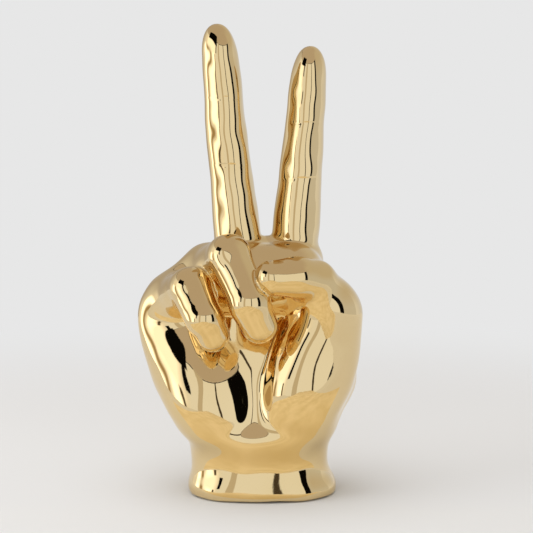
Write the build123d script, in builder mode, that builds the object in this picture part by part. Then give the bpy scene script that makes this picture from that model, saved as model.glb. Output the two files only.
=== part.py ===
"""A slip-cast ceramic hand that stands on its wrist and makes a V sign.

It is a right hand seen from its palm. It is cast in six hollow pieces: the wrist and palm in one, and one
piece for each digit. The digits are luted to the palm while the clay is wet, each over a vent pierced
through the palm's wall, and a slab with a drain hole closes the foot. A sheet of felt is glued under it.

X runs across the palm towards the thumb, Y from the palm to the back of the hand, and Z up. The origin is
on the table, under the middle of the foot. All sizes are in millimetres.
"""
import os
from dataclasses import dataclass
from math import copysign, cos, pi, sin

from build123d import *

# Walls and fittings
WALL = 5.0
SLAB_THICKNESS = 6.0
DRAIN_RADIUS = 9.0
VENT_RADIUS = 3.0
FELT_THICKNESS = 1.0
FELT_INSET = 3.5
FELT_HOLE_MARGIN = 5.0

# Foot, wrist and heel: each height is above the foot, and each centre is from the foot's middle
FOOT_WIDTH = 113.8
FOOT_DEPTH = 86.8
FOOT_EDGE = 2.0
WRIST_HEIGHT = 30.0
WRIST_WIDTH = 106.4
WRIST_DEPTH = 81.2
WRIST_CENTRE = (-2.2, 0.8)
HEEL_HEIGHT = 49.0
HEEL_WIDTH = 120.8
HEEL_DEPTH = 82.6
HEEL_CENTRE = (-4.0, 1.7)

# Palm: its sections hang by their drops below the knuckle height
KNUCKLE_HEIGHT = 172.0
PALM_DROP = 92.0
PALM_WIDTH = 153.0
PALM_DEPTH = 67.8
PALM_CENTRE = (-5.5, 9.9)
FIST_DROP = 56.0
FIST_WIDTH = 170.4
FIST_DEPTH = 62.4
FIST_CENTRE = (-8.8, 11.2)
SHOULDER_DROP = 30.0
SHOULDER_WIDTH = 160.5
SHOULDER_DEPTH = 54.0
SHOULDER_CENTRE = (-14.7, 12.0)
CROWN_DROP = 11.0
CROWN_WIDTH = 108.0
CROWN_DEPTH = 33.0
CROWN_CENTRE = (-14.0, 12.5)

# Row of knuckles inside which the fingers start: x, y and the rise above the knuckle height
LITTLE_KNUCKLE = (-70.0, 12.0, -24.0)
RING_KNUCKLE = (-41.0, 12.0, 1.0)
MIDDLE_KNUCKLE = (-15.0, 12.0, 5.0)
INDEX_KNUCKLE = (24.0, 11.0, 3.0)
KNUCKLE_RADII = (20.0, 19.2, 20.6, 20.4)

# Exponent of the oval sections: 2 is an ellipse, and more is squarer
OVAL_POWER = 2.4
OVAL_POINTS = 12

# Pads of the palm: both ends of the pad's axis, as x, y and the rise above the knuckle height
THENAR_ENDS = ((18.0, -29.0, -129.0), (57.5, 0.5, -22.0))
THENAR_RADIUS = 30.0
HYPOTHENAR_ENDS = ((-29.0, -30.0, -129.0), (-73.0, 24.0, -33.0))
HYPOTHENAR_RADIUS = 30.0
FINGER_PAD_ENDS = ((-20.0, -5.0, -6.0), (22.0, -4.0, -2.5))
FINGER_PAD_RADII = (28.0, 24.0)

# Joints of the digits, as x, y and the rise above the knuckles, from the knuckle to the tip's centre
MIDDLE_JOINTS = ((-15.6, 12.0, 5.0), (-24.0, 15.0, 79.0), (-28.8, 16.0, 129.0), (-33.4, 18.2, 173.8))
MIDDLE_RADII = (19.6, 16.7, 15.4, 13.4)
INDEX_JOINTS = ((24.0, 11.0, 3.0), (29.8, 14.0, 70.0), (33.2, 15.0, 112.0), (36.8, 17.0, 157.2))
INDEX_RADII = (19.3, 17.1, 15.3, 13.1)
RING_JOINTS = ((-43.0, 10.0, -3.0), (-24.5, -33.0, 14.6), (-9.2, -50.0, -18.0), (-1.5, -45.0, -36.0))
RING_RADII = (16.8, 16.4, 15.6, 13.8)
LITTLE_JOINTS = ((-70.0, 10.0, -25.0), (-53.4, -31.0, -9.4), (-42.6, -45.0, -31.0), (-36.6, -41.0, -44.0))
LITTLE_RADII = (17.8, 15.8, 14.8, 13.2)
THUMB_JOINTS = ((58.6, -14.0, -34.0), (43.0, -43.0, -2.6), (7.4, -50.0, 0.2))
THUMB_RADII = (16.6, 15.4, 13.4)
JOINT_PROUD = 0.8
VENT_REACH = 0.9

FOOT_Z = FELT_THICKNESS
KNUCKLE_Z = FOOT_Z + KNUCKLE_HEIGHT

DIGITS = {
    "middle_finger": (MIDDLE_JOINTS, MIDDLE_RADII),
    "index_finger": (INDEX_JOINTS, INDEX_RADII),
    "ring_finger": (RING_JOINTS, RING_RADII),
    "little_finger": (LITTLE_JOINTS, LITTLE_RADII),
    "thumb": (THUMB_JOINTS, THUMB_RADII),
}


@dataclass(frozen=True)
class Station:
    """One oval section of the wrist and palm."""

    height: float
    width: float
    depth: float
    centre: tuple


STATIONS = (
    Station(FOOT_Z, FOOT_WIDTH - 2 * FOOT_EDGE, FOOT_DEPTH - 2 * FOOT_EDGE, (0.0, 0.0)),
    Station(FOOT_Z + FOOT_EDGE, FOOT_WIDTH, FOOT_DEPTH, (0.0, 0.0)),
    Station(FOOT_Z + WRIST_HEIGHT, WRIST_WIDTH, WRIST_DEPTH, WRIST_CENTRE),
    Station(FOOT_Z + HEEL_HEIGHT, HEEL_WIDTH, HEEL_DEPTH, HEEL_CENTRE),
    Station(KNUCKLE_Z - PALM_DROP, PALM_WIDTH, PALM_DEPTH, PALM_CENTRE),
    Station(KNUCKLE_Z - FIST_DROP, FIST_WIDTH, FIST_DEPTH, FIST_CENTRE),
    Station(KNUCKLE_Z - SHOULDER_DROP, SHOULDER_WIDTH, SHOULDER_DEPTH, SHOULDER_CENTRE),
    Station(KNUCKLE_Z - CROWN_DROP, CROWN_WIDTH, CROWN_DEPTH, CROWN_CENTRE),
)


def oval(width, depth, centre):
    """Points on the superellipse of that width and depth, about its centre."""
    points = []
    for step in range(OVAL_POINTS):
        angle = 2 * pi * step / OVAL_POINTS
        across = copysign(abs(cos(angle)) ** (2 / OVAL_POWER), cos(angle))
        along = copysign(abs(sin(angle)) ** (2 / OVAL_POWER), sin(angle))
        points.append((centre[0] + across * width / 2, centre[1] + along * depth / 2))
    return points


def on_palm(place):
    """A place given from the knuckle height, as a point in the model's frame."""
    return Vector(place[0], place[1], KNUCKLE_Z + place[2])


def palm(inset=0.0):
    """The wrist and palm as a solid form, drawn in by inset for the hollow, which runs out of the foot."""
    with BuildPart() as form:
        for station in STATIONS:
            with BuildSketch(Plane.XY.offset(station.height)):
                with BuildLine():
                    Spline(
                        *oval(station.width - 2 * inset, station.depth - 2 * inset, station.centre),
                        periodic=True,
                    )
                make_face()
        loft()
    return form.part


def muscle(ends, radius, inset=0.0):
    """A spindle-shaped pad of the palm: a half ellipse turned about the line between its two ends."""
    start, end = [on_palm(place) for place in ends]
    direction = end - start
    half_length = direction.length / 2 - inset
    side = Plane(origin=(start + end) / 2, x_dir=direction, z_dir=direction.cross(Vector(1, 0, 0)))
    with BuildPart() as spindle:
        with BuildSketch(side):
            Ellipse(half_length, radius - inset)
            Rectangle(2 * half_length, radius, align=(Align.CENTER, Align.MAX), mode=Mode.SUBTRACT)
        revolve(axis=Axis(side.origin, direction))
    return spindle.part


def palm_forms(inset=0.0):
    """The solid forms that make up the hand without its digits: palm, row of knuckles and three pads."""
    return [
        palm(inset),
        digit((LITTLE_KNUCKLE, RING_KNUCKLE, MIDDLE_KNUCKLE, INDEX_KNUCKLE), KNUCKLE_RADII, inset),
        digit(FINGER_PAD_ENDS, FINGER_PAD_RADII, inset),
        muscle(THENAR_ENDS, THENAR_RADIUS, inset),
        muscle(HYPOTHENAR_ENDS, HYPOTHENAR_RADIUS, inset),
    ]


def joined(forms):
    """Several solid forms as one, added in turn."""
    with BuildPart() as whole:
        for form in forms:
            add(form)
    return whole.part


def digit(joints, radii, inset=0.0):
    """A finger or thumb: a ball at each joint and a tapering shaft from each ball to the next."""
    places = [on_palm(joint) for joint in joints]
    with BuildPart() as form:
        for start, end, low, high in zip(places, places[1:], radii, radii[1:]):
            with Locations(Plane(origin=start, z_dir=end - start)):
                Sphere(low - inset)
                Cone(
                    low - JOINT_PROUD - inset,
                    high - JOINT_PROUD - inset,
                    (end - start).length,
                    align=(Align.CENTER, Align.CENTER, Align.MIN),
                )
        with Locations(Plane(origin=places[-1], z_dir=places[-1] - places[-2])):
            Sphere(radii[-1] - inset)
    return form.part


def vent(joints):
    """The hole through the palm's wall that lets the air out of a digit, along its first bone."""
    start, end = on_palm(joints[0]), on_palm(joints[1])
    reach = VENT_REACH * (end - start).length
    with BuildPart() as hole:
        with Locations(Plane(origin=start, z_dir=end - start)):
            Cylinder(VENT_RADIUS, reach, align=(Align.CENTER, Align.CENTER, Align.MIN))
    return hole.part


# Wrist and palm, hollow and open at the foot, with a vent under each digit
solid_forms = palm_forms()
solid_body = joined(solid_forms)
hollow = joined(palm_forms(WALL))
vents = [vent(joints) for joints, radii in DIGITS.values()]
with BuildPart() as hand_body:
    add(solid_body)
    add(hollow, mode=Mode.SUBTRACT)
    add(vents, mode=Mode.SUBTRACT)
hand_body.part.label = "hand_body"
pieces = [hand_body.part]

# Digits, each hollow and cut to the palm that it is luted to and to the digits that stand there before it
neighbours = list(solid_forms)
for name, (joints, radii) in DIGITS.items():
    form = digit(joints, radii)
    with BuildPart() as casting:
        add(form)
        add(digit(joints, radii, WALL), mode=Mode.SUBTRACT)
        for neighbour in neighbours:
            add(neighbour, mode=Mode.SUBTRACT)
    casting.part.label = name
    pieces.append(casting.part)
    neighbours.append(form)

# Slab that closes the foot, cut from the hollow that it fills
with BuildPart() as base_slab:
    add(palm(WALL))
    split(bisect_by=Plane.XY.offset(FOOT_Z + SLAB_THICKNESS), keep=Keep.BOTTOM)
    with Locations((0.0, 0.0, FOOT_Z + SLAB_THICKNESS)):
        Hole(DRAIN_RADIUS)
base_slab.part.label = "base_slab"
pieces.append(base_slab.part)

# Felt under the foot's rim and the slab, with a hole that leaves the drain clear
foot = STATIONS[0]
with BuildPart() as felt_base:
    with BuildSketch():
        with BuildLine():
            Spline(*oval(foot.width - 2 * FELT_INSET, foot.depth - 2 * FELT_INSET, foot.centre), periodic=True)
        make_face()
        Circle(DRAIN_RADIUS + FELT_HOLE_MARGIN, mode=Mode.SUBTRACT)
    extrude(amount=FELT_THICKNESS)
felt_base.part.label = "felt_base"
pieces.append(felt_base.part)

os.makedirs("parts", exist_ok=True)
for piece in pieces:
    export_step(piece, f"parts/{piece.label}.step")
    print(f"{piece.label}: {piece.volume / 1000:.1f} cm3")
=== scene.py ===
"""Dresses the ceramic hand, a gold-lustred V sign that stands on its wrist.

The castings are luted together and sponged smooth before firing, so the hand has one unbroken skin. That skin
branches, which no single grid of two parameters can follow, so it is worked out as a field of distances: the
field is zero on the skin, a net of quads is drawn over that zero surface, and the net is parted into the six
castings along the creases where they meet. Shapes are in millimetres here and go into the meshes in metres.
"""
import logging
import math
from collections.abc import Callable
from dataclasses import dataclass
from enum import Enum
from itertools import combinations

import bpy
import numpy as np
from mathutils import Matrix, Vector


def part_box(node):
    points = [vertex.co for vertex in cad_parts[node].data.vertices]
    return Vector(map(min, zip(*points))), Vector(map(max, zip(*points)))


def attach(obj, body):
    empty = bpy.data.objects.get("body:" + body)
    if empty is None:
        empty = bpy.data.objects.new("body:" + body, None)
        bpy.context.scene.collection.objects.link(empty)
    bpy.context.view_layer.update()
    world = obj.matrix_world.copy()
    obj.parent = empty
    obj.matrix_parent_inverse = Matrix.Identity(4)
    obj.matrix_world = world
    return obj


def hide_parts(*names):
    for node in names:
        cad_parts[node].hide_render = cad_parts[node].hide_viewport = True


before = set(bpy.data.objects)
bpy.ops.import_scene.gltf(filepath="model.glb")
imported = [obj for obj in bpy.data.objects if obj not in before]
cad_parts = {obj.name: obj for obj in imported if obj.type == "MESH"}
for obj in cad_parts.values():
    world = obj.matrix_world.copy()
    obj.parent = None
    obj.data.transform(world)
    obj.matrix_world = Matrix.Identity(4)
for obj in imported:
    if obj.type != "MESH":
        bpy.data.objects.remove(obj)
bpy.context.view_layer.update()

MM = 0.001
BODY = "root"
LOG = logging.getLogger("ceramic_hand")

Array = np.ndarray
Pair = tuple[float, float]
Point = tuple[float, float, float]
Colour = tuple[float, float, float, float]
Tree = bpy.types.NodeTree
Socket = bpy.types.NodeSocket
Material = bpy.types.Material

# A form's field is held inside this share of its size, and keeps this share of its mean slope.
FIELD_CORE = 0.2
FIELD_SLOPE = 0.4
TINY = 1e-9
# A panel of the room is open where it runs up to the zenith or straight behind.
OPEN_BOUNDS = (90.0, 180.0)


class Slot(Enum):
    """Names of material slots for the lustre and the felt; no piece here is given them."""

    LUSTRE = "gold_lustre"
    FELT = "felt"


class Casting(Enum):
    """The six castings of the hand, by the node that each one stands for."""

    BODY = "hand_body"
    MIDDLE = "middle_finger"
    INDEX = "index_finger"
    RING = "ring_finger"
    LITTLE = "little_finger"
    THUMB = "thumb"


def linear(hex_colour: str, strength: float = 1.0) -> Colour:
    """Turn an sRGB hex colour into the linear values that the shaders take.

    Args:
        hex_colour: Six hex digits.
        strength: What the linear values are multiplied by.

    Returns:
        Linear red, green and blue, and full opacity.
    """
    shares = [int(hex_colour[place:place + 2], 16) / 255 for place in (0, 2, 4)]
    red, green, blue = [s / 12.92 if s <= 0.04045 else ((s + 0.055) / 1.055) ** 2.4 for s in shares]
    return red * strength, green * strength, blue * strength, 1.0


def add_node(tree: Tree, kind: str, links: dict | None = None, **settings) -> bpy.types.Node:
    """Add a shader node, set it up and link its inputs.

    Args:
        tree: Node tree that takes the node.
        kind: Blender's name of the node type.
        links: For each input, by name or place, a socket to link from or a plain value.
        settings: Attributes of the node.

    Returns:
        The new node.
    """
    node = tree.nodes.new(kind)
    for name, value in settings.items():
        setattr(node, name, value)
    for name, source in (links or {}).items():
        if isinstance(source, Socket):
            tree.links.new(source, node.inputs[name])
        else:
            node.inputs[name].default_value = source
    return node


def add_noise(
    tree: Tree, place: Socket, grain_mm: float, detail: float = 2.0, distortion: float = 0.0,
) -> Socket:
    """Add noise by the size of its grain, and give its strength."""
    inputs = {"Vector": place, "Scale": 1 / (grain_mm * MM), "Detail": detail, "Distortion": distortion}
    return add_node(tree, "ShaderNodeTexNoise", inputs).outputs["Fac"]


def add_relief(tree: Tree, height: Socket, depth_mm: float) -> Socket:
    """Stand a texture out in relief, and give the normal."""
    return add_node(tree, "ShaderNodeBump", {"Height": height, "Distance": depth_mm * MM}).outputs["Normal"]


def add_math(tree: Tree, operation: str, *values: Socket | float) -> Socket:
    """Work out one value from others."""
    return add_node(tree, "ShaderNodeMath", dict(enumerate(values)), operation=operation).outputs[0]


def add_ramp(tree: Tree, value: Socket, low: float, high: float, kind: str = "LINEAR") -> Socket:
    """Run from 0 to 1 while a value runs from low to high."""
    inputs = {"Value": value, "From Min": low, "From Max": high}
    return add_node(tree, "ShaderNodeMapRange", inputs, interpolation_type=kind).outputs["Result"]


def mix_colours(tree: Tree, share: Socket, first: Socket | Colour, second: Socket | Colour) -> Socket:
    """Mix two colours by a share of the second, and give the mix."""
    return add_node(tree, "ShaderNodeMix", {0: share, 6: first, 7: second}, data_type="RGBA").outputs[2]


def smooth_union(first: Array, second: Array, reach: float | Array) -> Array:
    """Blend two fields: the smaller one, lowered by a sixth of reach times the cube of their closeness.

    Args:
        first: Distances to one form.
        second: Distances to the other form.
        reach: How far apart the two distances may be and still blend.

    Returns:
        Distances to both forms, with a fillet where they meet.
    """
    closeness = np.maximum(reach - np.abs(first - second), 0.0) / reach
    return np.minimum(first, second) - closeness ** 3 * reach / 6.0


def smooth_trim(first: Array, second: Array, reach: float) -> Array:
    """Keep what lies in both forms, with a rounded edge: a smooth union turned inside out."""
    return -smooth_union(-first, -second, reach)


def ease(value: Array) -> Array:
    """Run from 0 to 1 with no slope at either end: 3 t squared less 2 t cubed, held to that range."""
    share = np.clip(value, 0.0, 1.0)
    return share * share * (3.0 - 2.0 * share)


def superellipse_distance(shares: list[Array], sizes: list, power: float, longest: float | Array) -> Array:
    """Work out the distance to a superellipse, or to a superellipsoid.

    The n-th root of the sum of the shares' n-th powers is 1 on the form. Its excess over 1 is divided by its
    own slope.

    Args:
        shares: Offset along each axis over the half size, never negative.
        sizes: Half size along each axis.
        power: The power n: 2 is an ellipse, and more is squarer.
        longest: The half size that bounds the slope from below.

    Returns:
        Distance of each place from the form, negative inside it.
    """
    root = np.maximum(sum(share ** power for share in shares) ** (1 / power), FIELD_CORE)
    steep = np.sqrt(sum((share ** (power - 1) / size) ** 2 for share, size in zip(shares, sizes)))
    return (root - 1.0) / np.maximum(steep * root ** (1 - power), FIELD_SLOPE / longest)


def field_slope(field: Callable[[Array], Array], points: Array, step: float = 0.05) -> Array:
    """Take the slope of a field from its values a step ahead and a step behind on each axis.

    Args:
        field: Gives the field's value at each place.
        points: Places, one per row.
        step: Length of a step.

    Returns:
        Slope at each place, one per row.
    """
    slope = np.empty_like(points)
    for axis in range(3):
        shift = np.zeros(3)
        shift[axis] = step
        slope[:, axis] = (field(points + shift) - field(points - shift)) / (2 * step)
    return slope


@dataclass(frozen=True)
class Bone:
    """A tapering shaft with a ball at each end."""

    start: Point
    end: Point
    start_radius: float
    end_radius: float

    def distance(self, points: Array) -> Array:
        """Work out the distance to the shaft or to the nearer ball, whichever a point lies beside.

        Args:
            points: Places, one per row.

        Returns:
            Distance of each place from the bone, negative inside it.
        """
        start = np.array(self.start)
        axis = np.array(self.end) - start
        length = float(np.linalg.norm(axis))
        axis = axis / length
        offset = points - start
        along = offset @ axis
        beside = np.sqrt(np.maximum(np.einsum("ij,ij->i", offset, offset) - along * along, TINY))
        slope = (self.start_radius - self.end_radius) / length
        rise = math.sqrt(1.0 - slope * slope)
        place = rise * along - slope * beside
        shaft = rise * beside + slope * along - self.start_radius
        low_ball = np.hypot(beside, along) - self.start_radius
        high_ball = np.hypot(beside, along - length) - self.end_radius
        return np.where(place < 0.0, low_ball, np.where(place > rise * length, high_ball, shaft))


class Profile:
    """A natural cubic spline through the values at a few heights."""

    def __init__(self, heights: list[float], values: list[float]) -> None:
        """Solve for the curvature at each height, with none at either end.

        Args:
            heights: Heights, going up.
            values: The value at each height.
        """
        self.heights = np.array(heights)
        self.values = np.array(values)
        step = np.diff(self.heights)
        count = len(heights)
        matrix = np.eye(count)
        right = np.zeros(count)
        inner = np.arange(1, count - 1)
        matrix[inner, inner - 1] = step[:-1]
        matrix[inner, inner] = 2.0 * (step[:-1] + step[1:])
        matrix[inner, inner + 1] = step[1:]
        slope = np.diff(self.values) / step
        right[1:-1] = 6.0 * np.diff(slope)
        self.curvature = np.linalg.solve(matrix, right)

    def at(self, height: Array) -> Array:
        """Give the value at each height, held level past both ends.

        Args:
            height: Heights, in any order.

        Returns:
            The value at each height.
        """
        inside = np.clip(height, self.heights[0], self.heights[-1])
        span = np.clip(np.searchsorted(self.heights, inside) - 1, 0, len(self.heights) - 2)
        low, high = self.heights[span], self.heights[span + 1]
        step = high - low
        up, down = (inside - low) / step, (high - inside) / step
        straight = down * self.values[span] + up * self.values[span + 1]
        bend = (down ** 3 - down) * self.curvature[span] + (up ** 3 - up) * self.curvature[span + 1]
        return straight + bend * step * step / 6.0


@dataclass(frozen=True)
class Chain:
    """Bones from joint to joint, smoothed into each other."""

    joints: tuple[Point, ...]
    radii: tuple[float, ...]
    joint_blend: float = 4.0

    def distance(self, points: Array) -> Array:
        """Blend the bones, from the first joint to the last.

        Args:
            points: Places, one per row.

        Returns:
            Distance of each place from the chain.
        """
        bones = zip(self.joints, self.joints[1:], self.radii, self.radii[1:])
        fields = [Bone(*bone).distance(points) for bone in bones]
        field = fields[0]
        for following in fields[1:]:
            field = smooth_union(field, following, self.joint_blend)
        return field


@dataclass(frozen=True, kw_only=True)
class Digit(Chain):
    """A finger or the thumb: a chain that blends with the palm, more at its root than at its tip."""

    casting: Casting
    root_blend: float = 4.0
    tip_blend: float = 4.0
    blend_start: float = 0.4

    def blend(self, points: Array) -> Array:
        """Hold the root's blend with the palm near the first joint, then fall to the tip's over one bone.

        Args:
            points: Places, one per row.

        Returns:
            Reach of the blend at each place.
        """
        bone = math.dist(self.joints[0], self.joints[1])
        away = np.linalg.norm(points - np.array(self.joints[0]), axis=1) / bone
        return self.root_blend + (self.tip_blend - self.root_blend) * ease(away - self.blend_start)


@dataclass(frozen=True, kw_only=True)
class RaisedFinger(Digit):
    """A straight finger: one smooth shaft from the knuckle to the tip, with a fold before each joint."""

    creases: Pair
    crease_depth: float = 0.34
    crease_half_width: float = 1.2
    crease_start: float = 0.375
    flat_bearing: float
    flats: int = 3
    flatness: float = 0.05
    facets: int = 7
    facet_depth: float = 0.0055
    sways: tuple[tuple[float, ...], ...] = ((53.0, 0.11, 1.0), (31.0, 0.07, 2.0), (19.0, 0.03, 0.7))
    tip_length: float = 24.0
    tip_power: float = 2.2

    def section(self, bearing: Array, height: Array) -> Array:
        """Press flat sides and shallow facets into the round section, and let them sway as it rises.

        The share is 1 less a cosine for the flats and a cosine for the facets. Each sway is a sine over the
        height, by its wave length in millimetres, its swing in radians and its phase in flat bearings.

        Args:
            bearing: Bearing of each place about the axis, in radians from the palm's side.
            height: Height of each place.

        Returns:
            Share of the round section's radius.
        """
        sway = sum(
            swing * np.sin(2 * math.pi * height / wave + phase * self.flat_bearing)
            for wave, swing, phase in self.sways
        )
        turned = bearing - math.radians(self.flat_bearing) - sway
        facets = self.facet_depth * np.cos(self.facets * turned)
        return 1.0 - self.flatness * np.cos(self.flats * turned) - facets

    def distance(self, points: Array) -> Array:
        """Work out the distance to the shaft and press the joint creases into its front.

        The axis and the radius are splines over the height. The last joint is the very tip, and over the
        tip's length the shaft closes as a superellipse. Below the knuckle it closes as a ball.

        Args:
            points: Places, one per row.

        Returns:
            Distance of each place from the finger.
        """
        columns = np.array(self.joints).T
        heights, height = columns[2], points[:, 2]
        curves = [Profile(heights, values) for values in (*columns[:2], self.radii)]
        axis_x, axis_y, radius = [curve.at(height) for curve in curves]
        across, deep = points[:, 0] - axis_x, points[:, 1] - axis_y
        radius = radius * self.section(np.arctan2(across, -deep), height)
        above = np.maximum(height - heights[-1] + self.tip_length, 0.0) / self.tip_length
        below = np.maximum(heights[0] - height, 0.0) / radius
        field = superellipse_distance(
            [np.hypot(across, deep) / radius, np.maximum(above, below)],
            [radius, np.where(above > below, self.tip_length, radius)], self.tip_power, self.tip_length,
        )
        front = ease((-deep / radius - self.crease_start) / (1.0 - self.crease_start))
        for crease in self.creases:
            rise = (height - crease) / self.crease_half_width
            field = field + self.crease_depth * np.exp(-rise * rise) * front
        return field


@dataclass(frozen=True)
class Pad:
    """A muscle pad: a squarish egg, with half sizes along it, across it and out of its face."""

    centre: Point
    along: Point
    facing: Point
    half: Point
    power: float = 2.1

    def axes(self) -> Array:
        """Square up the pad's three axes.

        Returns:
            Unit vectors along the pad, across it and out of its face, one per row.
        """
        out = np.array(self.facing) / np.linalg.norm(self.facing)
        along = np.array(self.along) - out * np.dot(self.along, out)
        along /= np.linalg.norm(along)
        return np.stack([along, np.cross(along, out), out])

    def distance(self, points: Array) -> Array:
        """Work out the distance to the pad, a superellipsoid about its centre."""
        shares = np.abs((points - np.array(self.centre)) @ self.axes().T) / np.array(self.half)
        return superellipse_distance(list(shares.T), list(self.half), self.power, self.half[0])


@dataclass(frozen=True)
class Station:
    """One oval section of the wrist and palm: both sides, front and back, as places on their axes."""

    height: float
    left: float
    right: float
    front: float
    back: float


@dataclass(frozen=True)
class WristAndPalm:
    """The form that carries the digits.

    It is made of oval sections, the row of knuckles with the pad before it, a fill behind the curled fingers,
    the muscle pad under the little finger, and the ball of the thumb with the ridge along it.
    """

    stations: tuple[Station, ...] = (
        Station(1.0, -57.8, 57.0, -43.0, 43.0),
        Station(6.0, -58.2, 57.2, -43.4, 43.4),
        Station(16.0, -55.6, 52.6, -41.4, 42.0),
        Station(31.0, -55.4, 51.0, -39.8, 41.4),
        Station(42.0, -58.4, 52.6, -42.4, 42.4),
        Station(50.0, -64.0, 56.4, -42.2, 43.0),
        Station(58.0, -68.6, 60.2, -37.6, 43.4),
        Station(66.0, -73.0, 64.6, -34.0, 43.6),
        Station(81.0, -81.4, 72.2, -29.0, 43.8),
        Station(97.0, -88.0, 73.6, -25.0, 43.6),
        Station(117.0, -94.0, 74.6, -20.0, 42.4),
        Station(135.0, -96.4, 70.8, -15.0, 40.4),
        Station(153.0, -91.0, 56.0, -12.0, 37.0),
        Station(173.0, -68.0, 38.0, -7.0, 32.0),
    )
    power: float = 2.4
    foot_height: float = 1.0
    foot_round: float = 3.5
    top_height: float = 165.0
    top_round: float = 22.0
    thenar: Pad = Pad((39.0, -17.0, 103.0), (0.36, 0.06, 0.93), (0.18, -0.95, 0.24), (54.0, 33.0, 28.0))
    thenar_blends: Pair = (20.0, 10.0)
    thenar_blend_heights: Pair = (82.0, 108.0)
    thumb_ridge: Bone = Bone((30.0, -20.0, 68.0), (51.0, -19.0, 145.0), 26.0, 23.0)
    thumb_ridge_blend: float = 16.0
    hypothenar: Pad = Pad((-46.0, -5.0, 92.0), (-0.38, 0.40, 0.84), (-0.08, -0.88, 0.46), (60.0, 35.5, 28.5))
    hypothenar_blend: float = 13.0
    knuckles: Chain = Chain(
        ((-70.0, 12.0, 149.0), (-41.0, 12.0, 173.0), (-15.0, 12.0, 178.0), (26.0, 11.0, 177.4)),
        (19.4, 18.2, 20.0, 21.6),
    )
    knuckle_blend: float = 12.0
    finger_pad: Bone = Bone((-20.0, -5.0, 167.0), (22.0, -5.0, 167.0), 27.5, 27.5)
    finger_pad_blend: float = 6.0
    fist_fill: Bone = Bone((-44.0, -15.0, 152.0), (-14.0, -19.0, 162.0), 14.0, 15.0)
    fist_fill_blend: float = 10.0

    def __post_init__(self) -> None:
        """Draw the splines through the stations."""
        heights = [station.height for station in self.stations]
        for name in ("left", "right", "front", "back"):
            values = [getattr(station, name) for station in self.stations]
            object.__setattr__(self, name + "_profile", Profile(heights, values))

    def oval_distance(self, points: Array) -> Array:
        """Work out the distance to the oval sections: superellipses between their sides, front and back.

        Args:
            points: Places, one per row.

        Returns:
            Distance of each place from the sections.
        """
        height = points[:, 2]
        left, right = self.left_profile.at(height), self.right_profile.at(height)
        front, back = self.front_profile.at(height), self.back_profile.at(height)
        half_width, half_depth = (right - left) / 2, (back - front) / 2
        across = np.abs(points[:, 0] - (left + right) / 2) / half_width
        deep = np.abs(points[:, 1] - (front + back) / 2) / half_depth
        return superellipse_distance([across, deep], [half_width, half_depth], self.power, half_width)

    def distance(self, points: Array) -> Array:
        """Blend the sections with the knuckles, the fill and the pads, and cut them level at the foot.

        Args:
            points: Places, one per row.

        Returns:
            Distance of each place from the wrist and palm.
        """
        field = smooth_trim(self.oval_distance(points), points[:, 2] - self.top_height, self.top_round)
        for form, reach in (
            (self.knuckles, self.knuckle_blend), (self.finger_pad, self.finger_pad_blend),
            (self.fist_fill, self.fist_fill_blend), (self.hypothenar, self.hypothenar_blend),
        ):
            field = smooth_union(field, form.distance(points), reach)
        thenar, ridge = self.thenar.distance(points), self.thumb_ridge.distance(points)
        (low, high), (wide, close) = self.thenar_blend_heights, self.thenar_blends
        reach = wide + (close - wide) * ease((points[:, 2] - low) / (high - low))
        field = smooth_union(field, smooth_union(thenar, ridge, self.thumb_ridge_blend), reach)
        return smooth_trim(field, self.foot_height - points[:, 2], self.foot_round)


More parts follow.
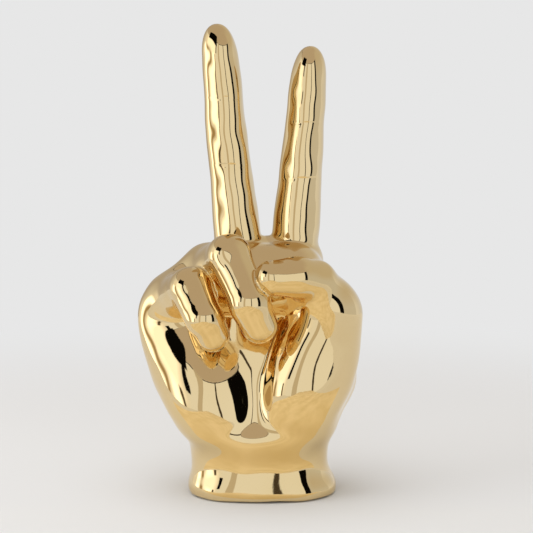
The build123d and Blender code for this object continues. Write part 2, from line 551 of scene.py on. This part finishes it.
@dataclass(frozen=True)
class HandForm:
    """The whole hand as one field of distances, in millimetres."""

    palm: WristAndPalm = WristAndPalm()
    digits: tuple[Digit, ...] = (
        RaisedFinger(
            ((-15.6, 12.0, 178.0), (-24.0, 15.0, 252.0), (-28.8, 16.0, 302.0), (-33.6, 18.6, 360.2)),
            (19.4, 16.3, 15.0, 13.4), casting=Casting.MIDDLE, creases=(304.0, 253.0), flat_bearing=-35.0,
        ),
        RaisedFinger(
            ((24.0, 11.0, 176.0), (29.8, 14.0, 243.0), (33.2, 15.0, 285.0), (37.0, 17.4, 343.3)),
            (19.0, 16.7, 14.9, 12.9), casting=Casting.INDEX, creases=(285.0, 243.0), flat_bearing=-53.0,
        ),
        Digit(
            ((-43.0, 10.0, 170.0), (-24.5, -33.0, 187.6), (-9.2, -50.0, 155.0), (-1.5, -45.0, 137.0)),
            (17.0, 16.0, 15.2, 13.4), casting=Casting.RING, root_blend=12.0, tip_blend=2.5,
        ),
        Digit(
            ((-70.0, 10.0, 148.0), (-53.4, -31.0, 163.6), (-42.6, -45.0, 142.0), (-36.6, -41.0, 129.0)),
            (18.0, 15.4, 14.4, 12.8), casting=Casting.LITTLE, root_blend=12.0, tip_blend=2.5,
        ),
        Digit(
            ((49.8, -14.0, 141.0), (40.8, -32.0, 167.8), (26.0, -43.0, 172.6), (7.4, -49.0, 173.2)),
            (15.2, 14.4, 13.6, 13.2), joint_blend=12.0, casting=Casting.THUMB, root_blend=29.0, tip_blend=1.5,
            blend_start=0.75,
        ),
    )

    def part_distances(self, points: Array) -> Array:
        """Stack the distances to the palm and to each digit, one row for each casting."""
        return np.stack([self.palm.distance(points)] + [digit.distance(points) for digit in self.digits])

    def distance(self, points: Array) -> Array:
        """Blend the digits into the palm and ripple the skin as a slip-cast wall ripples.

        Args:
            points: Places, one per row.

        Returns:
            Distance of each place from the hand's skin.
        """
        parts = self.part_distances(points)
        field = parts[0]
        for digit, part in zip(self.digits, parts[1:]):
            field = smooth_union(field, part, digit.blend(points))
        return field + self.ripple(points)

    @staticmethod
    def ripple(points: Array) -> Array:
        """Sum slow sine waves, each by its direction, its length and height in millimetres, and its phase.

        Args:
            points: Places, one per row.

        Returns:
            Height of the ripple at each place.
        """
        waves = (
            ((0.9, 0.2, 0.35), 34.0, 0.16, 0.4),
            ((-0.5, 0.8, 0.3), 27.0, 0.12, 1.9),
            ((0.2, -0.4, 0.9), 44.0, 0.22, 3.1),
            ((0.6, 0.5, -0.6), 24.0, 0.09, 5.2),
            ((-0.8, 0.1, 0.6), 60.0, 0.28, 2.3),
        )
        total = np.zeros(len(points))
        for direction, length, height, phase in waves:
            unit = np.array(direction) / np.linalg.norm(direction)
            total += height * np.sin(points @ unit * (2 * math.pi / length) + phase)
        return total

    def normals(self, points: Array) -> tuple[Array, Array]:
        """Find the way out of the skin from the field's own slope.

        Args:
            points: Places, one per row.

        Returns:
            Unit normals, and the slope's steepness at each place.
        """
        slope = field_slope(self.distance, points)
        steepness = np.linalg.norm(slope, axis=1)
        return slope / steepness[:, None], steepness


@dataclass
class SkinNet:
    """A net of quads over the zero surface of the hand's field.

    near_cells counts coarse cells, and slide_limit counts pitches.
    """

    form: HandForm
    pitch: float = 1.5
    coarse: int = 4
    low: Point = (-105.0, -78.0, -5.0)
    high: Point = (88.0, 56.0, 370.0)
    near_cells: float = 1.6
    rounds: int = 4
    border_rounds: int = 3
    pull_share: float = 0.6
    slide_limit: float = 0.6
    least_steepness: float = 0.05

    def sample(self) -> Array:
        """Fill a block of points with distances, finely only in the coarse cells that the skin may cross.

        Returns:
            Distances on the block's points.
        """
        wide = self.pitch * self.coarse
        counts = [math.ceil((top - bottom) / wide) for bottom, top in zip(self.low, self.high)]
        centres = [bottom + wide * (np.arange(count) + 0.5) for bottom, count in zip(self.low, counts)]
        places = np.stack(np.meshgrid(*centres, indexing="ij"), axis=-1).reshape(-1, 3)
        rough = self.form.distance(places).reshape(counts)
        for axis in range(3):
            rough = np.repeat(rough, self.coarse, axis=axis)
        near = np.argwhere(np.abs(rough) < self.near_cells * wide)
        start = np.array(self.low) + self.pitch / 2
        rough[tuple(near.T)] = self.form.distance(start + near * self.pitch)
        return rough

    def draw(self) -> tuple[Array, Array]:
        """Draw the net: one vertex in each cell that the skin crosses, one quad round each crossed edge.

        A vertex starts at the mean of the places where the skin crosses its cell's twelve edges.

        Returns:
            Vertices, and quads as rows of four vertex numbers that turn about the way out.
        """
        values = self.sample()
        inside = values < 0.0
        shape = np.array(values.shape) - 1
        corners = np.array([[x, y, z] for x in (0, 1) for y in (0, 1) for z in (0, 1)])
        count = sum(
            inside[x:x + shape[0], y:y + shape[1], z:z + shape[2]].astype(np.int8) for x, y, z in corners
        )
        cells = np.argwhere((count > 0) & (count < len(corners)))
        number = np.full(shape, -1, dtype=np.int64)
        number[tuple(cells.T)] = np.arange(len(cells))
        corner_values = np.stack([values[tuple((cells + corner).T)] for corner in corners], axis=1)
        total = np.zeros((len(cells), 3))
        crossings = np.zeros(len(cells))
        for first, second in combinations(range(len(corners)), 2):
            if np.abs(corners[first] - corners[second]).sum() != 1:
                continue
            near, far = corner_values[:, first], corner_values[:, second]
            crossed = (near < 0.0) != (far < 0.0)
            share = np.where(crossed, near / np.where(crossed, near - far, 1.0), 0.0)
            place = corners[first] + share[:, None] * (corners[second] - corners[first])
            total += place * crossed[:, None]
            crossings += crossed
        vertices = np.array(self.low) + self.pitch / 2 + (cells + total / crossings[:, None]) * self.pitch
        return vertices, np.concatenate([self.quads_along(axis, inside, number) for axis in range(3)])

    @staticmethod
    def quads_along(axis: int, inside: Array, number: Array) -> Array:
        """Join the four cells round each crossed edge of one direction.

        Args:
            axis: Direction of the edges.
            inside: Which points of the block are inside the skin.
            number: Vertex number of each cell.

        Returns:
            Quads as rows of four vertex numbers.
        """
        ahead = np.moveaxis(inside, axis, 0)
        starts = ahead[:-1] & ~ahead[1:]
        ends = ~ahead[:-1] & ahead[1:]
        side, other = [way for way in range(3) if way != axis]
        around = np.moveaxis(number, (axis, side, other), (0, 1, 2))
        if axis == 1:
            starts, ends = ends, starts
        quads = []
        for crossed, turn in ((starts, 1), (ends, -1)):
            edge = np.argwhere(crossed[:, 1:-1, 1:-1]) + (0, 1, 1)
            steps = ((1, 1), (0, 1), (0, 0), (1, 0))
            ring = [around[edge[:, 0], edge[:, 1] - back, edge[:, 2] - down] for back, down in steps]
            quads.append(np.stack(ring[::turn], axis=1))
        return np.concatenate(quads)

    def settle(self, vertices: Array, quads: Array) -> Array:
        """Even out the net along the skin and drop it onto the zero surface by Newton's steps.

        Args:
            vertices: Places of the vertices.
            quads: Quads of the net.

        Returns:
            The settled places.
        """
        ends = np.concatenate([quads, np.roll(quads, 1, axis=1)]).ravel()
        starts = np.concatenate([np.roll(quads, 1, axis=1), quads]).ravel()
        degree = np.bincount(starts, minlength=len(vertices))
        for lap in range(self.rounds):
            normals, steepness = self.form.normals(vertices)
            vertices = vertices - normals * (self.form.distance(vertices) / steepness)[:, None]
            if lap == self.rounds - 1:
                break
            sums = [np.bincount(starts, vertices[ends, way], len(vertices)) for way in range(3)]
            pull = np.stack(sums, axis=1) / degree[:, None] - vertices
            pull -= normals * np.einsum("ij,ij->i", pull, normals)[:, None]
            vertices = vertices + self.pull_share * pull
        return vertices

    def part(self, vertices: Array, quads: Array) -> tuple[Array, Array]:
        """Share out the quads among the castings and slide the border vertices onto the true creases.

        Args:
            vertices: Places of the vertices.
            quads: Quads of the net.

        Returns:
            The places, with the borders straightened, and the casting that owns each quad.
        """
        owner = self.form.part_distances(vertices[quads].mean(axis=1)).argmin(axis=0)
        lowest = np.full(len(vertices), len(Casting))
        highest = np.full(len(vertices), -1)
        for corner in range(4):
            np.minimum.at(lowest, quads[:, corner], owner)
            np.maximum.at(highest, quads[:, corner], owner)
        border = np.flatnonzero(lowest != highest)
        low, high = lowest[border], highest[border]
        places = vertices[border]

        def excess(spots: Array) -> Array:
            """Tell how much nearer one casting is than the other."""
            parts, spot = self.form.part_distances(spots), np.arange(len(spots))
            return parts[low, spot] - parts[high, spot]

        for _ in range(self.border_rounds):
            normals, _ = self.form.normals(places)
            slope = field_slope(excess, places)
            slope -= normals * np.einsum("ij,ij->i", slope, normals)[:, None]
            steep = np.maximum(np.einsum("ij,ij->i", slope, slope), self.least_steepness)
            slide = -slope * (excess(places) / steep)[:, None]
            length = np.maximum(np.linalg.norm(slide, axis=1, keepdims=True), TINY)
            places = places + slide * np.minimum(1.0, self.slide_limit * self.pitch / length)
            normals, steepness = self.form.normals(places)
            places = places - normals * (self.form.distance(places) / steepness)[:, None]
        vertices = vertices.copy()
        vertices[border] = places
        return vertices, owner


def new_mesh_object(name: str, vertices: Array, faces: Array, material: Material) -> bpy.types.Object:
    """Put arrays into a mesh and its object into the scene, smooth-shaded.

    Args:
        name: Name of the piece.
        vertices: Places in millimetres.
        faces: Quads, as rows of vertex numbers.
        material: Finish of the piece.

    Returns:
        The new object.
    """
    mesh = bpy.data.meshes.new(name)
    mesh.vertices.add(len(vertices))
    mesh.vertices.foreach_set("co", (vertices * MM).astype(np.float32).ravel())
    mesh.loops.add(faces.size)
    mesh.loops.foreach_set("vertex_index", faces.astype(np.int32).ravel())
    mesh.polygons.add(len(faces))
    mesh.polygons.foreach_set("loop_start", np.arange(0, faces.size, 4, dtype=np.int32))
    mesh.polygons.foreach_set("use_smooth", np.ones(len(faces), dtype=bool))
    mesh.update(calc_edges=True)
    mesh.validate()
    mesh.materials.append(material)
    piece = bpy.data.objects.new(name, mesh)
    bpy.context.scene.collection.objects.link(piece)
    return piece


@dataclass(frozen=True)
class Finish:
    """A finish textured by the piece's own coordinates. Its plain look is matt."""

    name: str
    colour: str
    second_colour: str
    roughness: float
    grain_mm: float
    depth_mm: float
    detail: float
    distortion: float = 0.0
    sheen: float = 0.0

    def build(self) -> Material:
        """Make the material.

        Returns:
            The material.
        """
        material = bpy.data.materials.new(self.name)
        material.use_nodes = True
        tree = material.node_tree
        tree.nodes.clear()
        place = add_node(tree, "ShaderNodeTexCoord").outputs["Object"]
        shader = add_node(tree, "ShaderNodeBsdfPrincipled", self.look(tree, place))
        add_node(tree, "ShaderNodeOutputMaterial", {"Surface": shader.outputs["BSDF"]})
        return material

    def look(self, tree: Tree, place: Socket) -> dict:
        """Mix the two colours by the grain, and stand the grain out.

        Args:
            tree: The material's nodes.
            place: The piece's own coordinates.

        Returns:
            Inputs of the shader.
        """
        grain = add_noise(tree, place, self.grain_mm, self.detail, self.distortion)
        return {
            "Base Color": mix_colours(tree, grain, linear(self.colour), linear(self.second_colour)),
            "Roughness": self.roughness, "Sheen Weight": self.sheen,
            "Normal": add_relief(tree, grain, self.depth_mm),
        }


@dataclass(frozen=True)
class GoldLustre(Finish):
    """Gold lustre fired over glazed slip-cast earthenware.

    The metal film is thin and follows the glaze, so it mirrors like polished brass. The eye sees clear
    reflections, a pale warm gold, and amber where two walls mirror each other.
    """

    name: str = "fired_gold_lustre"
    colour: str = "EBD4A7"
    second_colour: str = "E2C893"
    roughness: float = 0.035
    grain_mm: float = 3.0
    depth_mm: float = 0.01
    detail: float = 1.0
    cloud_mm: float = 55.0
    wear: Pair = (0.6, 1.4)

    def look(self, tree: Tree, place: Socket) -> dict:
        """Cloud the metal where the film is thin, in colour and in gloss, and pit it faintly.

        Args:
            tree: The material's nodes.
            place: The piece's own coordinates.

        Returns:
            Inputs of the shader.
        """
        cloud = add_noise(tree, place, self.cloud_mm)
        least, most = [share * self.roughness for share in self.wear]
        wear = add_node(tree, "ShaderNodeMapRange", {"Value": cloud, "To Min": least, "To Max": most})
        pits = add_noise(tree, place, self.grain_mm, self.detail)
        return {
            "Base Color": mix_colours(tree, cloud, linear(self.colour), linear(self.second_colour)),
            "Metallic": 1.0, "Roughness": wear.outputs["Result"],
            "Normal": add_relief(tree, pits, self.depth_mm),
        }


@dataclass(frozen=True)
class BareClay(Finish):
    """Unglazed earthenware, wiped with a sponge: chalky, off-white, with fine grog."""

    name: str = "bare_earthenware"
    colour: str = "E4DACB"
    second_colour: str = "C9BBA6"
    roughness: float = 0.85
    grain_mm: float = 1.4
    depth_mm: float = 0.12
    detail: float = 3.0


@dataclass(frozen=True)
class PressedFelt(Finish):
    """Pressed wool felt: short tangled fibres with no weave, soft and without gloss."""

    name: str = "pressed_wool_felt"
    colour: str = "3B3833"
    second_colour: str = "57524B"
    roughness: float = 0.95
    grain_mm: float = 0.9
    depth_mm: float = 0.2
    detail: float = 4.0
    distortion: float = 1.5
    sheen: float = 0.3


@dataclass
class GiltHand:
    """The six castings of the hand, under one unbroken skin."""

    form: HandForm
    finish: GoldLustre
    wall: float = 4.0
    foot_rim: float = 5.0
    sole: float = 1.0

    def build(self) -> list[bpy.types.Object]:
        """Draw the skin, part it and give each casting its wall.

        Returns:
            The six pieces.
        """
        net = SkinNet(self.form)
        vertices, quads = net.draw()
        vertices = net.settle(vertices, quads)
        vertices, owner = net.part(vertices, quads)
        normals, _ = self.form.normals(vertices)
        kept = ~self.under_foot(vertices[quads].mean(axis=1))
        material = self.finish.build()
        pieces = []
        castings = [Casting.BODY] + [digit.casting for digit in self.form.digits]
        for place, casting in enumerate(castings):
            faces = quads[(owner == place) & kept]
            pieces.append(self.casting_piece(casting, vertices, normals, faces, material))
        return pieces

    def under_foot(self, places: Array) -> Array:
        """Tell which places lie under the foot, inside its standing rim."""
        palm = self.form.palm
        return (places[:, 2] < palm.foot_height + self.sole) & (palm.oval_distance(places) < -self.foot_rim)

    def casting_piece(
        self, casting: Casting, vertices: Array, normals: Array, faces: Array, material: Material,
    ) -> bpy.types.Object:
        """Close one casting: its skin, the same skin drawn in by the wall, and a rim round each opening.

        Args:
            casting: Which casting it is.
            vertices: Vertices of the whole net.
            normals: Normals of the whole net.
            faces: Quads of this casting.
            material: Finish of the casting.

        Returns:
            The piece, with the skin's own normals.
        """
        used, local = np.unique(faces, return_inverse=True)
        skin = local.reshape(faces.shape)
        count = len(used)
        outer, out = vertices[used], normals[used]
        starts = skin.ravel()
        ends = np.roll(skin, -1, axis=1).ravel()
        there = starts * count + ends
        back = ends * count + starts
        edge = ~np.isin(there, back)
        rim = np.stack([ends[edge], starts[edge], starts[edge] + count, ends[edge] + count], axis=1)
        lining = skin[:, ::-1] + count
        piece = new_mesh_object(
            casting.value + "_skin", np.concatenate([outer, outer - self.wall * out]),
            np.concatenate([skin, lining, rim]), material,
        )
        rim_normals = np.cross(outer[rim[:, 1]] - outer[rim[:, 0]], out[rim[:, 0]])
        rim_normals /= np.maximum(np.linalg.norm(rim_normals, axis=1, keepdims=True), TINY)
        loop_normals = np.concatenate([
            out[skin].reshape(-1, 3), -out[lining - count].reshape(-1, 3), np.repeat(rim_normals, 4, axis=0),
        ])
        piece.data.normals_split_custom_set(loop_normals.tolist())
        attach(piece, BODY)
        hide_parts(casting.value)
        return piece


@dataclass
class Foot:
    """What closes the foot: the clay slab with its drain hole, and the felt glued under it."""

    clay: BareClay
    felt: PressedFelt
    palm: WristAndPalm
    slab_node: str = "base_slab"
    felt_node: str = "felt_base"
    felt_hole: float = 14.0
    felt_edge: float = 0.35
    edge_rings: int = 4
    inner_rings: tuple[float, ...] = (0.3, 0.6, 0.9)
    turns: int = 160

    def dress_slab(self) -> bpy.types.Object:
        """Give the slab its bare clay.

        Returns:
            The slab's own object.
        """
        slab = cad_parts[self.slab_node]
        slab.data.materials.clear()
        slab.data.materials.append(self.clay.build())
        return slab

    def lay_felt(self) -> bpy.types.Object:
        """Carry the felt's thin section round its oval: flat faces, and edges rounded by the cutter.

        The outer edge is the superellipse of the felt's own box, and the inner edge is a circle. A place in
        the section slides from one edge to the other, in and out and up and down.

        Returns:
            The felt.
        """
        low, high = [np.array(corner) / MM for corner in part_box(self.felt_node)]
        middle, half = (low + high) / 2, (high - low) / 2
        angle = np.linspace(0.0, 2 * math.pi, self.turns, endpoint=False)
        circle = np.stack([np.cos(angle), np.sin(angle)], axis=1)
        outer = np.sign(circle) * np.abs(circle) ** (2 / self.palm.power) * half[:2]
        hole = self.felt_hole * circle
        width = np.linalg.norm(outer - hole, axis=1)
        edge = [
            (self.felt_edge * (1 - math.cos(turn)), high[2] - self.felt_edge * (1 - math.sin(turn)))
            for turn in np.linspace(0.0, math.pi / 2, self.edge_rings)
        ]
        rings = [(inset / width, height) for inset, height in edge]
        rings += [(np.full(self.turns, share), high[2]) for share in self.inner_rings]
        rings += [(1 - inset / width, height) for inset, height in reversed(edge)]
        lower = [(share, low[2] + high[2] - height) for share, height in reversed(rings)]
        stack = [
            np.column_stack([outer + (hole - outer) * share[:, None], np.full(self.turns, height)])
            for share, height in rings + lower
        ]
        vertices = np.concatenate(stack) + np.array([middle[0], middle[1], 0.0])
        faces = self.band_faces(len(stack), self.turns)
        piece = new_mesh_object("felt_sheet", vertices, faces, self.felt.build())
        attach(piece, BODY)
        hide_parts(self.felt_node)
        return piece

    @staticmethod
    def ring_area(loop: Array) -> float:
        """Add up the area inside a closed loop from the cross products of its points."""
        ahead = np.roll(loop, -1, axis=0)
        return float(np.sum(loop[:, 0] * ahead[:, 1] - loop[:, 1] * ahead[:, 0]) / 2)

    @staticmethod
    def band_faces(rings: int, turns: int) -> Array:
        """Join each ring to the next, and the last to the first.

        Args:
            rings: How many rings there are.
            turns: How many points each ring has.

        Returns:
            Quads that face out, as rows of vertex numbers.
        """
        ring, turn = np.meshgrid(np.arange(rings), np.arange(turns), indexing="ij")
        ahead, beside = (ring + 1) % rings, (turn + 1) % turns
        corners = (ring * turns + turn, ring * turns + beside, ahead * turns + beside, ahead * turns + turn)
        return np.stack([corner.ravel() for corner in corners], axis=1)


@dataclass(frozen=True)
class Panel:
    """A patch of the room that the gold mirrors, bounded by two bearings and two height angles.

    Both are in degrees. A bearing counts from the camera's side, and every bound has a soft edge.
    """

    bearing: Pair
    height: Pair
    colour: str
    strength: float = 1.0
    edge: float = 1.0

    def hang(self, tree: Tree, room: Socket, bearing: Socket, height: Socket) -> Socket:
        """Lay the panel over the room where both angles are within bounds.

        Args:
            tree: The world's nodes.
            room: Colour of the room so far.
            bearing: Bearing of the direction, in degrees.
            height: Height angle of the direction, in degrees.

        Returns:
            Colour of the room with the panel.
        """
        shares = []
        for angle, bounds in ((bearing, self.bearing), (height, self.height)):
            for bound, way in zip(bounds, (self.edge / 2, -self.edge / 2)):
                if abs(bound) in OPEN_BOUNDS:
                    continue
                shares.append(add_ramp(tree, angle, bound - way, bound + way))
        share = shares[0]
        for side in shares[1:]:
            share = add_math(tree, "MULTIPLY", share, side)
        return mix_colours(tree, share, room, linear(self.colour, self.strength))


@dataclass(frozen=True)
class SoftLamp:
    """A soft lamp: its name, its place and size in metres, and its power in watts."""

    name: str
    place: Point
    size: Pair
    power: float

    def hang(self, aim: Point) -> None:
        """Hang the lamp out of sight of the camera and of the gold.

        Args:
            aim: What the lamp is turned to, in metres.
        """
        lamp = bpy.data.lights.new(self.name, "AREA")
        lamp.shape = "RECTANGLE"
        lamp.size, lamp.size_y = self.size
        lamp.energy = self.power
        holder = bpy.data.objects.new(self.name, lamp)
        holder.location = self.place
        holder.rotation_euler = (Vector(aim) - holder.location).to_track_quat("-Z", "Y").to_euler()
        holder.visible_camera = False
        holder.visible_glossy = False
        bpy.context.scene.collection.objects.link(holder)


@dataclass(frozen=True)
class Studio:
    """A pale table top in a plain bright room, with two soft lamps, and the camera."""

    floor_colour: str = "E6E9EC"
    floor_size: Pair = (1.6, 1.6)
    floor_fade: Pair = (0.3, 0.78)
    backdrop_colour: str = "E7E7E7"
    wall_colour: str = "F8FBFF"
    # Painted bounce light: a card that only the gold sees, tinted warm for the gold's light on the pale
    # table, and mottled.
    painted_bounce_colour: str = "F6EDD4"
    painted_bounce_tint: str = "E7DBB9"
    bounce_card_place: Point = (-0.05, -0.85, 0.0005)
    bounce_card_size: Pair = (0.7, 1.6)
    mottle_mm: float = 110.0
    mottle_detail: float = 3.0
    mottle_range: Pair = (0.36, 0.64)
    card_roughness: float = 0.7
    card_gloss: float = 0.2
    panels: tuple[Panel, ...] = (
        # The room behind the hand on both sides, the right wall, the ceiling and the line under it.
        Panel((110.0, 180.0), (-30.0, 90.0), "DCDEE4", edge=50.0),
        Panel((-180.0, -120.0), (-30.0, 90.0), "BCB4AA", edge=50.0),
        Panel((56.5, 110.0), (-30.0, 33.0), "D5D6D8"),
        Panel((-180.0, 180.0), (33.0, 90.0), "C5BAB0"),
        Panel((-180.0, 180.0), (32.0, 33.0), "3A342C", edge=0.3),
        # Soft light from the left, low and high, and a grey panel high on the right.
        Panel((-130.0, -60.0), (-30.0, 4.0), "FFFCF6", edge=12.0),
        Panel((-108.0, -50.0), (-25.0, 30.0), "FFFCF6", edge=14.0),
        Panel((62.0, 180.0), (14.0, 56.0), "CFC8BC", edge=24.0),
        Panel((-84.0, -54.0), (2.0, 28.0), "FFFFFF", strength=1.5, edge=9.0),
        # Bright strips low on the left, with a tan and a brown one between and beside them.
        Panel((-108.0, -94.0), (-30.0, 9.0), "FFFFFF", strength=2.2, edge=7.0),
        Panel((-91.0, -83.0), (-30.0, 9.0), "B29A72", edge=5.0),
        Panel((-75.0, -61.0), (-30.0, 9.0), "FFFFFF", strength=2.0, edge=7.0),
        Panel((-59.0, -55.0), (-30.0, 9.0), "54462F", edge=2.0),
        # Black gaps, two high on the left and one on the right, then two strips near the camera.
        Panel((-78.0, -40.0), (26.0, 44.0), "0B0A08"),
        Panel((-49.0, -43.0), (12.0, 44.0), "0B0A08"),
        Panel((45.5, 60.0), (-30.0, 33.0), "0B0A08"),
        Panel((-30.0, -20.0), (-30.0, 33.0), "D0C8BA"),
        Panel((10.0, 14.0), (-30.0, 33.0), "4A4238", edge=0.8),
    )
    lamps: tuple[SoftLamp, ...] = (
        SoftLamp("side_lamp", (-1.35, -0.55, 0.6), (0.8, 0.9), 4.0),
        SoftLamp("top_lamp", (-0.3, -0.3, 2.2), (2.0, 2.0), 24.0),
    )
    lamp_aim: Point = (0.0, 0.0, 0.2)
    camera_place: Point = (3.4, -1250.0, 342.5)
    camera_aim: Point = (3.4, 0.0, 175.4)
    lens: float = 111.0
    sensor_width: float = 36.0
    mirror_bounces: int = 12

    def build(self) -> None:
        """Set up the floor, the room, the lamps and the camera."""
        self.lay_floor()
        self.paint_room()
        for lamp in self.lamps:
            lamp.hang(self.lamp_aim)
        self.set_camera()
        bpy.context.scene.view_settings.view_transform = "Standard"
        bpy.context.scene.cycles.glossy_bounces = self.mirror_bounces
        bpy.context.scene.cycles.max_bounces = self.mirror_bounces

    def lay_floor(self) -> None:
        """Lay a plain pale floor, and before it a card of painted warm bounce light that only the gold sees.
        """
        floor = self.card("floor", (0.0, 0.0, 0.0), self.floor_size, self.floor_colour)
        self.fade_floor(floor.data.materials[0].node_tree)
        # Painted reflection: the table as the gold sees it, warmed by the gold's own bounce light.
        bounce_card = self.card("painted_bounce_card", self.bounce_card_place, self.bounce_card_size, self.painted_bounce_colour)
        self.mottle_bounce_card(bounce_card.data.materials[0].node_tree)
        bounce_card.visible_camera = False
        bounce_card.visible_shadow = False
        bounce_card.visible_diffuse = False

    def fade_floor(self, tree: Tree) -> None:
        """Let the floor run into the backdrop far from the hand, so that no horizon shows.

        Args:
            tree: The floor's nodes.
        """
        place = add_node(tree, "ShaderNodeTexCoord").outputs["Object"]
        away = add_node(tree, "ShaderNodeVectorMath", {0: place}, operation="LENGTH")
        share = add_ramp(tree, away.outputs["Value"], *self.floor_fade, "SMOOTHSTEP")
        glow = add_node(tree, "ShaderNodeEmission", {"Color": linear(self.backdrop_colour)})
        matt = tree.nodes["Principled BSDF"].outputs[0]
        both = add_node(tree, "ShaderNodeMixShader", {0: share, 1: matt, 2: glow.outputs[0]})
        tree.links.new(both.outputs[0], tree.nodes["Material Output"].inputs["Surface"])

    def mottle_bounce_card(self, tree: Tree) -> None:
        """Mottle the card's painted bounce light: two warm tints mixed by noise.

        Args:
            tree: The card's nodes.
        """
        place = add_node(tree, "ShaderNodeTexCoord").outputs["Object"]
        noise = add_noise(tree, place, self.mottle_mm, self.mottle_detail)
        share = add_ramp(tree, noise, *self.mottle_range)
        tint = mix_colours(tree, share, linear(self.painted_bounce_colour), linear(self.painted_bounce_tint))
        tree.links.new(tint, tree.nodes["Principled BSDF"].inputs["Base Color"])

    def card(self, name: str, middle: Point, size: Pair, colour: str) -> bpy.types.Object:
        """Lay a matt card.

        Args:
            name: Name of the card.
            middle: Its middle, in metres.
            size: Its size along X and Y, in metres.
            colour: Its colour.

        Returns:
            The card.
        """
        half_x, half_y = size[0] / 2, size[1] / 2
        x, y, z = middle
        mesh = bpy.data.meshes.new(name)
        corners = [(x - half_x, y - half_y, z), (x + half_x, y - half_y, z)]
        corners += [(x + half_x, y + half_y, z), (x - half_x, y + half_y, z)]
        mesh.from_pydata(corners, [], [(0, 1, 2, 3)])
        material = bpy.data.materials.new(name + "_matt")
        material.use_nodes = True
        shader = material.node_tree.nodes["Principled BSDF"]
        shader.inputs["Base Color"].default_value = linear(colour)
        shader.inputs["Roughness"].default_value = self.card_roughness
        shader.inputs["Specular IOR Level"].default_value = self.card_gloss
        mesh.materials.append(material)
        card = bpy.data.objects.new(name, mesh)
        bpy.context.scene.collection.objects.link(card)
        return card

    def paint_room(self) -> None:
        """Give the world its walls, ceiling and gaps by direction, and the camera a plain backdrop."""
        world = bpy.data.worlds.new("room")
        bpy.context.scene.world = world
        world.use_nodes = True
        tree = world.node_tree
        tree.nodes.clear()
        direction = add_node(tree, "ShaderNodeTexCoord").outputs["Generated"]
        parts = add_node(tree, "ShaderNodeSeparateXYZ", {0: direction})
        toward = add_math(tree, "MULTIPLY", parts.outputs["Y"], -1.0)
        bearing = add_math(tree, "DEGREES", add_math(tree, "ARCTAN2", parts.outputs["X"], toward))
        height = add_math(tree, "DEGREES", add_math(tree, "ARCSINE", parts.outputs["Z"]))
        colour = add_node(tree, "ShaderNodeRGB")
        colour.outputs[0].default_value = linear(self.wall_colour)
        room = colour.outputs[0]
        for panel in self.panels:
            room = panel.hang(tree, room, bearing, height)
        camera = add_node(tree, "ShaderNodeLightPath").outputs["Is Camera Ray"]
        seen = mix_colours(tree, camera, room, linear(self.backdrop_colour))
        light = add_node(tree, "ShaderNodeBackground", {"Color": seen, "Strength": 1.0})
        add_node(tree, "ShaderNodeOutputWorld", {"Surface": light.outputs[0]})

    def set_camera(self) -> None:
        """Set the camera at the photograph's viewing angle."""
        data = bpy.data.cameras.new("camera")
        data.lens = self.lens
        data.sensor_width = self.sensor_width
        camera = bpy.data.objects.new("camera", data)
        camera.location = Vector(self.camera_place) * MM
        aim = (Vector(self.camera_aim) - Vector(self.camera_place)) * MM
        camera.rotation_euler = aim.to_track_quat("-Z", "Y").to_euler()
        bpy.context.scene.collection.objects.link(camera)
        bpy.context.scene.camera = camera


def main() -> None:
    """Build the hand, its foot and the studio."""
    logging.basicConfig(level=logging.INFO, format="%(name)s: %(message)s")
    form = HandForm()
    for piece in GiltHand(form, GoldLustre()).build():
        LOG.info("%s has %d faces", piece.name, len(piece.data.polygons))
    foot = Foot(BareClay(), PressedFelt(), form.palm)
    LOG.info("%s is bare clay", foot.dress_slab().name)
    LOG.info("%s is laid under the foot", foot.lay_felt().name)
    Studio().build()


if __name__ == "__main__":
    main()
